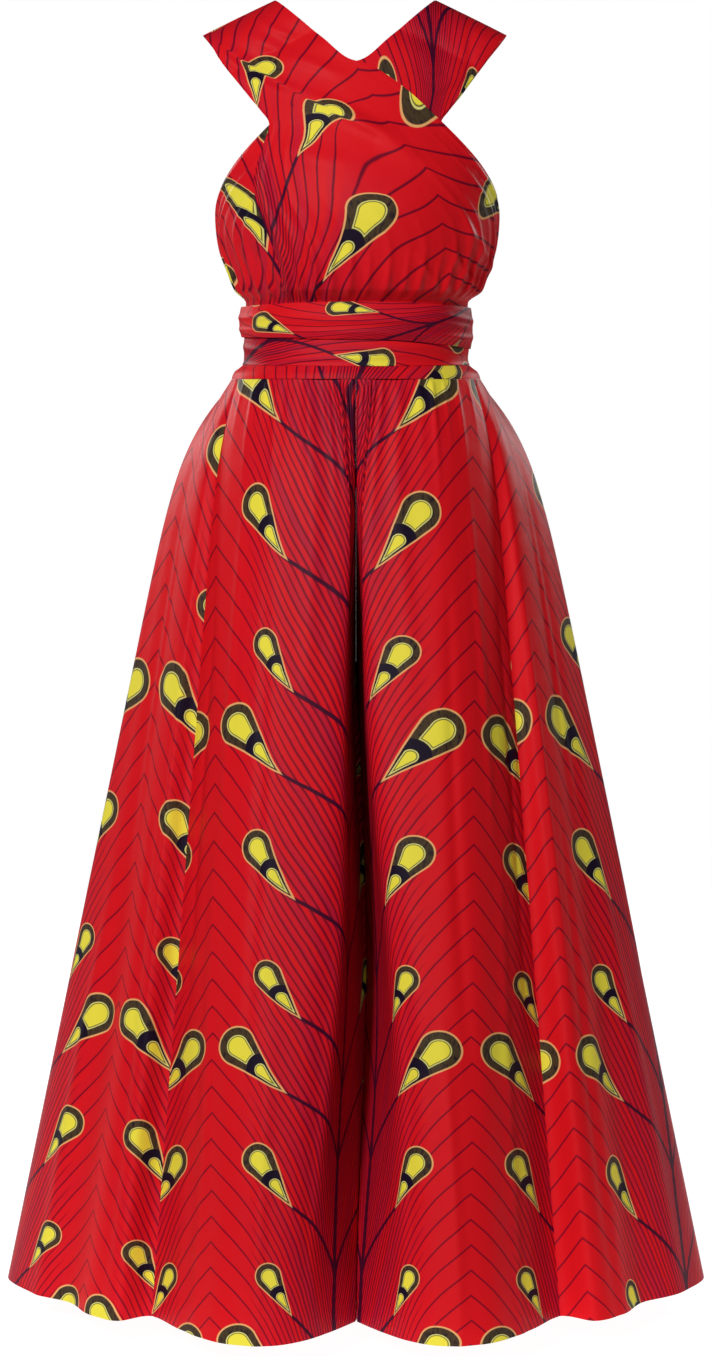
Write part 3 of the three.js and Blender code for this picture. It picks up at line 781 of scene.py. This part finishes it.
def leg_print(grid, is_front, lay):
    """Print coordinates of a leg panel: the stems run down beside the first crest or the side seam."""
    face_columns = grid.shape[1] - WALL_COLUMNS
    edge = 2 / SIDE_SEAM if is_front else 2 / (LAST_LINE - SIDE_SEAM)
    inside = WALL_COLUMNS + int(round(edge * (face_columns - 1)))
    flat, flat_top, flat_foot = unrolled_panel(grid, inside, is_front)
    k = int(round(FIRST_CREST / SIDE_SEAM * (face_columns - 1))) + WALL_COLUMNS - inside if is_front else 0
    way = flat_foot[k] - flat_top[k]
    way /= np.linalg.norm(way)
    turn = math.atan2(way[0], -way[1]) - math.radians(lay["lean"])
    flat = flat - flat_top[k]
    x = flat[..., 0] * math.cos(turn) + flat[..., 1] * math.sin(turn)
    drop = (flat[..., 0] * math.sin(turn) - flat[..., 1] * math.cos(turn)) * MM
    y = lay["y"] - drop * lay["fall"] - np.maximum(drop, 0) ** 2 * lay["tighten"]
    x = x * MM + lay["x"]
    if is_front:
        aside = x - LEG_EYES_AT
        x = LEG_EYES_AT + FRONT_STRETCH * (aside + FRONT_NARROWS * np.tanh(aside / FRONT_NARROWS_IN))
    else:
        x = lay["x"] + (x - lay["x"]) * BACK_STRETCH
    return np.stack([x, y], axis=-1)


# Shaping a piece of cloth
def cloth_piece(name, grid, print_at, thickness, side=1, closed=False):
    """Models a piece of cloth: a flat grid, bent to its points, with its thickness on the inside."""
    rows, columns = grid.shape[:2]
    bpy.ops.object.select_all(action="DESELECT")
    bpy.ops.mesh.primitive_grid_add(
        x_subdivisions=columns - 1, y_subdivisions=rows - 1, size=1, calc_uvs=True
    )
    piece = bpy.context.object
    piece.name = name
    mesh = piece.data
    mesh.name = name
    flat = np.empty(len(mesh.vertices) * 3)
    mesh.vertices.foreach_get("co", flat)
    flat = flat.reshape(-1, 3)
    j = np.rint((flat[:, 0] + 0.5) * (columns - 1)).astype(int)
    i = np.rint((0.5 - flat[:, 1]) * (rows - 1)).astype(int)
    place = (grid[i, j] - (0, 0, SHOULDER_MID)) * MM
    mesh.vertices.foreach_set("co", place.ravel())
    corner = np.empty(len(mesh.loops), int)
    mesh.loops.foreach_get("vertex_index", corner)
    mesh.uv_layers.active.data.foreach_set("uv", print_at[i, j][corner].ravel())
    mesh.update()
    bpy.ops.object.mode_set(mode="EDIT")
    bpy.ops.mesh.select_all(action="SELECT")
    if side < 0:
        bpy.ops.mesh.flip_normals()
    if closed:
        bpy.ops.mesh.remove_doubles(threshold=1e-6)
    bpy.ops.object.mode_set(mode="OBJECT")
    shell = piece.modifiers.new("Thickness", "SOLIDIFY")
    shell.thickness = thickness
    shell.offset = -1
    bpy.ops.object.modifier_apply(modifier=shell.name)
    bpy.ops.object.shade_smooth_by_angle(angle=math.radians(50))
    return piece


def hand_over(piece, node, material):
    """Puts a finished piece in the place of its solid."""
    piece.data.materials.clear()
    piece.data.materials.append(material)
    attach(piece, BODY)
    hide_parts(node)


# Shader numbers
class Number:
    """A number that the shader works out, so that a pattern can be written as a formula."""

    def __init__(self, tree, socket):
        self.tree = tree
        self.socket = socket

    def math(self, operation, *others, clamp=False):
        node = self.tree.nodes.new("ShaderNodeMath")
        node.operation = operation
        node.use_clamp = clamp
        for socket, value in zip(node.inputs, (self, *others)):
            feed(self.tree, socket, value)
        return Number(self.tree, node.outputs[0])

    def __add__(self, other):
        return self.math("ADD", other)

    def __sub__(self, other):
        return self.math("SUBTRACT", other)

    def __mul__(self, other):
        return self.math("MULTIPLY", other)

    def __truediv__(self, other):
        return self.math("DIVIDE", other)

    def whole(self):
        return self.math("ROUND")

    def size(self):
        return self.math("ABSOLUTE")

    def over(self, other):
        return self.math("GREATER_THAN", other)

    def root(self):
        return self.math("SQRT")

    def power(self, other):
        return self.math("POWER", other)

    def inside(self, soft):
        """1 where a distance is below nought and 0 where it is above, over a soft edge."""
        return self.math("MULTIPLY_ADD", -1 / soft, 0.5, clamp=True)

    def but(self, other, where):
        """The other number where the mask is 1, and this one where it is 0."""
        return (feed_number(self.tree, other) - self) * where + self


def feed(tree, socket, value):
    """Links a shader number to a socket, or sets a plain one on it."""
    if isinstance(value, Number):
        tree.links.new(value.socket, socket)
    else:
        socket.default_value = value


def feed_number(tree, value):
    if isinstance(value, Number):
        return value
    node = tree.nodes.new("ShaderNodeValue")
    node.outputs[0].default_value = value
    return Number(tree, node.outputs[0])


def distance(x, y):
    return (x * x + y * y).root()


def teardrop(p, q, low, low_radius, high, high_radius):
    """Distance outside a drop that widens from low to high along p. q is the distance from its axis."""
    reach = high - low
    slant = (low_radius - high_radius) / reach
    lean = math.sqrt(1 - slant * slant)
    up = p - low
    flank = q * lean + up * slant - low_radius
    crown = distance(q, p - high) - high_radius
    return flank.but(crown, (up * lean - q * slant).over(lean * reach))


def noise(tree, vector, scale, detail=2):
    node = tree.nodes.new("ShaderNodeTexNoise")
    node.inputs["Scale"].default_value = scale
    node.inputs["Detail"].default_value = detail
    tree.links.new(vector, node.inputs["Vector"])
    return Number(tree, node.outputs["Fac"])


def paint(tree, below, colour, mask):
    """One colour laid over another where the mask is 1."""
    node = tree.nodes.new("ShaderNodeMixRGB")
    feed(tree, node.inputs["Fac"], mask)
    for socket, value in ((node.inputs["Color1"], below), (node.inputs["Color2"], colour)):
        if isinstance(value, bpy.types.NodeSocket):
            tree.links.new(value, socket)
        else:
            socket.default_value = (*value, 1)
    return node.outputs["Color"]


# The eyes on each side of a stem: how far out from it and how far up, how large, and how far they lean
LEG_EYES = [
    {"out": 0.090, "up": 0, "size": 0.98, "lean": math.radians(34)},
    {"out": 0.081, "up": -0.39 * EYE_REPEAT, "size": 0.82, "lean": math.radians(31)},
    {"out": 0.109, "up": -0.623 * EYE_REPEAT, "size": 1.12, "lean": math.radians(46)},
]
BRANCH_DROP = 0.095
BRANCH_HALF = 0.0021
STEM_HALF = 0.0030
BARB_HALF = 0.0009
BARB_RISE = 1.1 # how steeply the barbs meet midway between two stems
BARB_STEEPENS = 48 # how fast they steepen towards a stem
EDGE = 0.0007 # softness of the printed edges
HAND_WAVER = 0.005

# The shapes of an eye, from its tip up: where each begins and its radius there, and where it is widest and
# that radius
EYE_OUTER = (0.002, 0.0012, 0.0692, 0.0208)
EYE_BULB = (0.040, 0.0050, 0.0692, 0.0115)
EYE_DROP = (0.0105, 0.0008, 0.0335, 0.0066)
EYE_DISC_AT = 0.0315
EYE_DISC = 0.0185
GOLD_LINE = 0.0017
PALE_LINE = 0.0011
RING_LINE = 0.0019 # its inner edge, from the outside of the pale line
WEAVE_TURNS = 2 * math.pi / 0.0012


def eye_place(side_way, y, eye):
    """How far out and up a point lies from the nearest eye of one kind."""
    out = side_way - eye["out"]
    up = y - eye["up"]
    return out, up - (up / EYE_REPEAT).whole() * EYE_REPEAT


def branches(side_way, y):
    """Distance from the dark branches that join the tip of each eye to the stem."""
    nearest = None
    for eye in LEG_EYES:
        half = eye["size"] * EYE_LENGTH / 2
        tip_out = eye["out"] - half * math.sin(eye["lean"])
        tip_up = eye["up"] - half * math.cos(eye["lean"])
        climb = (y - (tip_up - BRANCH_DROP)) / EYE_REPEAT
        climb = (climb - climb.math("FLOOR")) * (EYE_REPEAT / BRANCH_DROP)
        away = (side_way - climb.power(1.7) * tip_out).size() - climb * 0.0007 - BRANCH_HALF
        away = away + (climb - 1.03).over(0)
        nearest = away if nearest is None else nearest.math("MINIMUM", away)
    return nearest


def feather_print(tree, colours, strength, short_reach):
    """The printed colour of the cloth, from the piece's own print coordinates."""
    coordinates = tree.nodes.new("ShaderNodeUVMap").outputs["UV"]
    split = tree.nodes.new("ShaderNodeSeparateXYZ")
    tree.links.new(coordinates, split.inputs[0])
    hand = noise(tree, coordinates, 14) - 0.5
    x = Number(tree, split.outputs["X"]) + hand * HAND_WAVER
    y = Number(tree, split.outputs["Y"])
    stem = x - (x / STEM_PERIOD).whole() * STEM_PERIOD
    side_way = stem.size()
    middle = side_way * -1 + STEM_PERIOD / 2
    square = middle * middle
    row = (y + middle * BARB_RISE + square * middle * BARB_STEEPENS) / BARB_PITCH
    steep = square * (3 * BARB_STEEPENS) + BARB_RISE
    slope = (steep * steep + 1).root()
    barb = (row - row.whole()).size() * BARB_PITCH / slope - BARB_HALF
    between = row + 0.5
    short = (between - between.whole()).size() * BARB_PITCH / slope - BARB_HALF * 0.8
    short = short.math("MAXIMUM", (side_way - short_reach) * 0.05)

    streak_place = tree.nodes.new("ShaderNodeCombineXYZ")
    feed(tree, streak_place.inputs["X"], row * 1.6)
    feed(tree, streak_place.inputs["Y"], side_way * 9)
    streak = noise(tree, streak_place.outputs[0], 1.0, 1)
    near_stem = (side_way * -1 + 0.14) * 9
    pink = (streak - 0.40) * 4 * near_stem.math("MULTIPLY", 1, clamp=True)
    cloth = paint(tree, colours.red, colours.pink, pink.math("MULTIPLY", 0.9, clamp=True))
    lines = barb.math("MINIMUM", short).inside(EDGE * 1.6)
    colour = paint(tree, cloth, colours.barb, lines * strength)
    wood = (side_way - STEM_HALF).math("MINIMUM", branches(side_way, y))
    colour = paint(tree, colour, colours.stem, wood.inside(EDGE * 1.8))

    nearest = None
    for eye in LEG_EYES:
        out, up = eye_place(side_way, y, eye)
        sine, cosine = math.sin(eye["lean"]), math.cos(eye["lean"])
        p = (out * sine + up * cosine) / eye["size"] + EYE_LENGTH / 2
        q = ((out * cosine - up * sine) / eye["size"]).size()
        away = distance(p - EYE_LENGTH / 2, q)
        if nearest is None:
            nearest, best_p, best_q = away, p, q
            continue
        closer = nearest.over(away)
        best_p = best_p.but(p, closer)
        best_q = best_q.but(q, closer)
        nearest = nearest.math("MINIMUM", away)
    p, q = best_p, best_q
    outer = teardrop(p, q, *EYE_OUTER)
    disc = distance(q, p - EYE_DISC_AT) - EYE_DISC
    bulb = teardrop(p, q, *EYE_BULB).math("MAXIMUM", disc * -1 + 0.0006)
    drop = teardrop(p, q, *EYE_DROP)
    grain = tree.nodes.new("ShaderNodeCombineXYZ")
    feed(tree, grain.inputs["X"], x * 420)
    feed(tree, grain.inputs["Y"], y * 120)
    speckle = noise(tree, grain.outputs[0], 1.0, 3)
    ring = paint(tree, colours.ring, colours.band, (speckle - 0.47).math("MULTIPLY", 4, clamp=True))
    colour = paint(tree, colour, colours.gold, outer.inside(EDGE))
    colour = paint(tree, colour, ring, (outer + GOLD_LINE).inside(EDGE))
    dark = disc.math("MINIMUM", p - EYE_DISC_AT).math("MAXIMUM", outer + GOLD_LINE)
    colour = paint(tree, colour, colours.band, dark.inside(EDGE))
    for shape in (bulb, drop):
        colour = paint(tree, colour, colours.pale, shape.inside(EDGE))
        colour = paint(tree, colour, colours.ring, (shape + PALE_LINE).inside(EDGE))
        colour = paint(tree, colour, colours.yellow, (shape + RING_LINE).inside(EDGE))
    return colour, coordinates


def printed_cotton(name, colours, strength, short_reach):
    """Crisp cotton with a fine weave, a slight sheen and the printed pattern."""
    material = bpy.data.materials.new(name)
    material.use_nodes = True
    tree = material.node_tree
    shader = tree.nodes["Principled BSDF"]
    colour, uv = feather_print(tree, colours, strength, short_reach)
    tree.links.new(colour, shader.inputs["Base Color"])
    shader.inputs["Roughness"].default_value = 0.46
    shader.inputs["Specular IOR Level"].default_value = 0.06
    split = tree.nodes.new("ShaderNodeSeparateXYZ")
    tree.links.new(uv, split.inputs[0])
    warp = (Number(tree, split.outputs["X"]) * WEAVE_TURNS).math("SINE")
    weft = (Number(tree, split.outputs["Y"]) * WEAVE_TURNS).math("SINE")
    place = tree.nodes.new("ShaderNodeTexCoord")
    rumple = noise(tree, place.outputs["Object"], 22, 3)
    height = rumple * 0.0020 + warp * weft * 0.00004
    bump = tree.nodes.new("ShaderNodeBump")
    bump.inputs["Strength"].default_value = 0.7
    bump.inputs["Distance"].default_value = 1
    feed(tree, bump.inputs["Height"], height)
    tree.links.new(bump.outputs["Normal"], shader.inputs["Normal"])
    return material


def cotton(context, slot):
    """The material of one slot of the garment, made once."""
    name = f"cotton_{slot}"
    strength, short_reach = (0.85, 0.105) if slot == "leg_print" else (0.95, 0.03)
    return bpy.data.materials.get(name) or printed_cotton(
        name, context.scene.jumpsuit_print, strength, short_reach
    )


def colour_property(name, about, default):
    return FloatVectorProperty(name=name, description=about, subtype="COLOR", default=default)


class JumpsuitPrint(bpy.types.PropertyGroup):
    """The colours of the printed cotton."""

    red: colour_property("Red", "Ground of the print between two stems", (0.72, 0.008, 0.014))
    pink: colour_property("Crimson", "Ground of the print beside a stem", (0.48, 0.010, 0.036))
    barb: colour_property("Barbs", "Thin lines of the feathers", (0.13, 0.003, 0.018))
    stem: colour_property("Stems", "Stems and branches", (0.060, 0.004, 0.022))
    band: colour_property("Band", "Dark band in each eye", (0.012, 0.006, 0.018))
    gold: colour_property("Outline", "Line round each eye", (0.85, 0.42, 0.16))
    ring: colour_property("Ring", "Dark ring of each eye", (0.070, 0.045, 0.022))
    yellow: colour_property("Yellow", "Middle of each eye", (0.88, 0.76, 0.06))
    pale: colour_property("Pale line", "Line round the yellow", (0.78, 0.74, 0.22))


class JumpsuitCloth(bpy.types.PropertyGroup):
    """The cloth of the shells."""

    leg: FloatProperty(
        name="Leg cloth", description="Thickness of the leg panels", default=1.2 * MM, unit="LENGTH"
    )
    strap: FloatProperty(
        name="Strap cloth",
        description="Thickness of the straps, sash and waistband",
        default=1.0 * MM,
        unit="LENGTH",
    )


class JUMPSUIT_OT_legs(bpy.types.Operator):
    """Models the front and back panel of each leg"""

    bl_idname = "jumpsuit.legs"
    bl_label = "Legs"

    def execute(self, context):
        material = cotton(context, "leg_print")
        for label, side in (("left", 1), ("right", -1)):
            for part, face_columns in LEG_COLUMNS.items():
                is_front = part == "front"
                grid = leg_panel_grid(is_front, side, face_columns)
                print_at = leg_print(grid * (side, 1, 1), is_front, LEG_PRINTS[part, label])
                name = f"{part}_{label}_leg"
                piece = cloth_piece(name, grid, print_at, context.scene.jumpsuit_cloth.leg, side)
                hand_over(piece, f"leg_{part}_{label}", material)
        return {"FINISHED"}


class JUMPSUIT_OT_waistband(bpy.types.Operator):
    """Models the waistband"""

    bl_idname = "jumpsuit.waistband"
    bl_label = "Waistband"

    def execute(self, context):
        columns, rows = WAISTBAND_GRID
        u = np.linspace(0, 1, columns)[None, :]
        z = np.linspace(BODICE_SEAM, WAIST + SEAM, rows)[:, None]
        grid = round_waist(u, z, STRAP_CLOTH)
        print_at = straight_print(from_front(grid), grid[..., 2], SASH_PRINTS["waistband"])
        piece = cloth_piece("waist_band", grid, print_at, context.scene.jumpsuit_cloth.strap, closed=True)
        hand_over(piece, "waistband", cotton(context, "sash_print"))
        return {"FINISHED"}


class JUMPSUIT_OT_sash(bpy.types.Operator):
    """Models the two turns of the straps round the waist"""

    bl_idname = "jumpsuit.sash"
    bl_label = "Sash"

    def execute(self, context):
        thickness = context.scene.jumpsuit_cloth.strap
        for name, sash in SASHES.items():
            grid = sash_grid(name, sash, *SASH_GRID)
            print_at = straight_print(from_front(grid), grid[..., 2], SASH_PRINTS[name])
            piece = cloth_piece(f"{name}_cloth", grid, print_at, thickness, closed=True)
            hand_over(piece, name, cotton(context, "sash_print"))
        return {"FINISHED"}


class JUMPSUIT_OT_straps(bpy.types.Operator):
    """Models each strap from the waist in front over the shoulder and across the back"""

    bl_idname = "jumpsuit.straps"
    bl_label = "Straps"

    def execute(self, context):
        material = cotton(context, "bodice_print")
        thickness = context.scene.jumpsuit_cloth.strap
        for label, other, side, layer in (("left", "right", 1, 1), ("right", "left", -1, 0)):
            grid, turn, z = front_strap_grid(side, layer, *FRONT_STRAP_GRID)
            print_at = bodice_print(TOP_PRINT if layer else UNDER_PRINT, turn, z)
            if layer:
                print_at = pleated(print_at, turn, z)
            piece = cloth_piece(f"front_strap_{label}", grid, print_at, thickness, side)
            hand_over(piece, f"strap_front_{label}", material)
            self.back(other, -side, layer, print_at, thickness, material)
        return {"FINISHED"}

    def back(self, label, side, layer, front_print, thickness, material):
        """The strap goes on over the shoulder, and so does its print."""
        columns, rows = BACK_STRAP_GRID
        u = np.linspace(0, 1, columns)[None, :]
        v = np.linspace(0, 1, rows)[:, None]
        inner_x, inner_z, outer_x, outer_z = (
            along(BACK_STRAP[key], v) for key in ("inner_x", "inner_z", "outer_x", "outer_z")
        )
        z = mix(inner_z, outer_z, u)
        x = mix(inner_x, outer_x, u)
        out = strap_out(layer, z)
        turn = np.arcsin(np.clip(x / (column(FIGURE, "width", z) + out), -1, 1))
        grid = on_figure(turn, z, out, 1) * (side, 1, 1)
        edge = front_print[-1]
        place = np.linspace(0, len(edge) - 1, columns)
        start = np.stack([np.interp(place, np.arange(len(edge)), edge[:, k]) for k in (0, 1)], axis=-1)
        way = (front_print[-1] - front_print[-6]).mean(0)
        way /= np.linalg.norm(way)
        print_at = start[None] + way * (spacing(grid, 0) * MM)[..., None]
        piece = cloth_piece(f"back_strap_{label}", grid, print_at, thickness, -side)
        hand_over(piece, f"strap_back_{label}", material)


class JumpsuitStage(bpy.types.PropertyGroup):
    """The floor, the light and the camera."""

    paper: colour_property("Paper", "Colour of the paper underfoot", (0.2, 0.2, 0.2))
    glow: FloatProperty(name="Glow", description="Light that the paper gives off", default=0.97)
    sky: FloatProperty(name="Sky", description="Brightness of the white all round", default=1.0)
    lamp: FloatProperty(name="Lamp", description="Power of the key lamp", default=130, unit="POWER")
    lens: FloatProperty(name="Lens", description="Focal length", default=98.4, subtype="DISTANCE_CAMERA")


CAMERA_AT = (0, -4.1, -0.4)
CAMERA_AIM = (0, 0, -0.7235)
FLOOR_Z = -1.43
FLOOR_FRONT = -0.4 # the paper's edges, in front and behind
FLOOR_BACK = 3.4
FLOOR_HALF = 3.6
# Each lamp's name, place and size, and its share of the key lamp's power
LAMPS = [
    ("key_lamp", (-1.5, -3.6, 1.2), 0.7, 1),
    ("fill_lamp", (0.7, -4.2, -0.2), 1.0, 0.24),
    ("left_back_lamp", (3.2, 3.2, 0.9), 1.2, 0.6),
    ("right_back_lamp", (-3.2, 3.2, 0.9), 1.2, 0.6),
]
LAMPS_AIM = (0, 0, -0.6)


class JUMPSUIT_OT_stage(bpy.types.Operator):
    """Sets the floor, the light and the camera"""

    bl_idname = "jumpsuit.stage"
    bl_label = "Stage"

    def execute(self, context):
        stage = context.scene.jumpsuit_stage
        self.paper(stage)
        world = bpy.data.worlds.new("studio")
        context.scene.world = world
        world.use_nodes = True
        background = world.node_tree.nodes["Background"]
        background.inputs["Color"].default_value = (1, 1, 1, 1)
        background.inputs["Strength"].default_value = stage.sky
        world.cycles_visibility.diffuse = False
        world.cycles_visibility.glossy = False
        for name, place, size, share in LAMPS:
            self.lamp(name, place, size, stage.lamp * share)
        bpy.ops.object.camera_add(location=CAMERA_AT)
        camera = context.object
        camera.name = "camera"
        aim = Vector(CAMERA_AIM) - Vector(CAMERA_AT)
        camera.rotation_euler = aim.to_track_quat("-Z", "Y").to_euler()
        camera.data.lens = stage.lens
        camera.data.sensor_width = 36
        context.scene.camera = camera
        context.scene.view_settings.view_transform = "Standard"
        return {"FINISHED"}

    def paper(self, stage):
        """A floor of white paper."""
        bpy.ops.object.select_all(action="DESELECT")
        bpy.ops.mesh.primitive_plane_add(size=1, location=(0, (FLOOR_FRONT + FLOOR_BACK) / 2, FLOOR_Z))
        paper = bpy.context.object
        paper.name = "paper_floor"
        paper.dimensions = (2 * FLOOR_HALF, FLOOR_BACK - FLOOR_FRONT, 0)
        bpy.ops.object.transform_apply(location=True, rotation=True, scale=True)
        material = bpy.data.materials.new("white_paper")
        material.use_nodes = True
        shader = material.node_tree.nodes["Principled BSDF"]
        shader.inputs["Base Color"].default_value = (*stage.paper, 1)
        shader.inputs["Roughness"].default_value = 0.9
        shader.inputs["Emission Color"].default_value = (1, 1, 1, 1)
        shader.inputs["Emission Strength"].default_value = stage.glow
        paper.data.materials.append(material)

    def lamp(self, name, place, size, power):
        bpy.ops.object.light_add(type="AREA", location=place)
        lamp = bpy.context.object
        lamp.name = name
        lamp.data.shape = "DISK"
        lamp.data.size = size
        lamp.data.energy = power
        aim = Vector(LAMPS_AIM) - Vector(place)
        lamp.rotation_euler = aim.to_track_quat("-Z", "Y").to_euler()


class JUMPSUIT_PT_panel(bpy.types.Panel):
    """The jumpsuit's pieces, in the order that they are made"""

    bl_label = "Jumpsuit"
    bl_space_type = "VIEW_3D"
    bl_region_type = "UI"
    bl_category = "Jumpsuit"

    def draw(self, context):
        for operator in OPERATORS:
            self.layout.operator(operator.bl_idname)


GROUPS = (JumpsuitPrint, JumpsuitCloth, JumpsuitStage)
OPERATORS = (
    JUMPSUIT_OT_legs,
    JUMPSUIT_OT_waistband,
    JUMPSUIT_OT_sash,
    JUMPSUIT_OT_straps,
    JUMPSUIT_OT_stage,
)


def register():
    for cls in (*GROUPS, *OPERATORS, JUMPSUIT_PT_panel):
        bpy.utils.register_class(cls)
    bpy.types.Scene.jumpsuit_print = PointerProperty(type=JumpsuitPrint)
    bpy.types.Scene.jumpsuit_cloth = PointerProperty(type=JumpsuitCloth)
    bpy.types.Scene.jumpsuit_stage = PointerProperty(type=JumpsuitStage)


def unregister():
    del bpy.types.Scene.jumpsuit_stage
    del bpy.types.Scene.jumpsuit_cloth
    del bpy.types.Scene.jumpsuit_print
    for cls in reversed((*GROUPS, *OPERATORS, JUMPSUIT_PT_panel)):
        bpy.utils.unregister_class(cls)


def main():
    register()
    for operator in OPERATORS:
        group, name = operator.bl_idname.split(".")
        getattr(getattr(bpy.ops, group), name)()


if __name__ == "__main__":
    main()
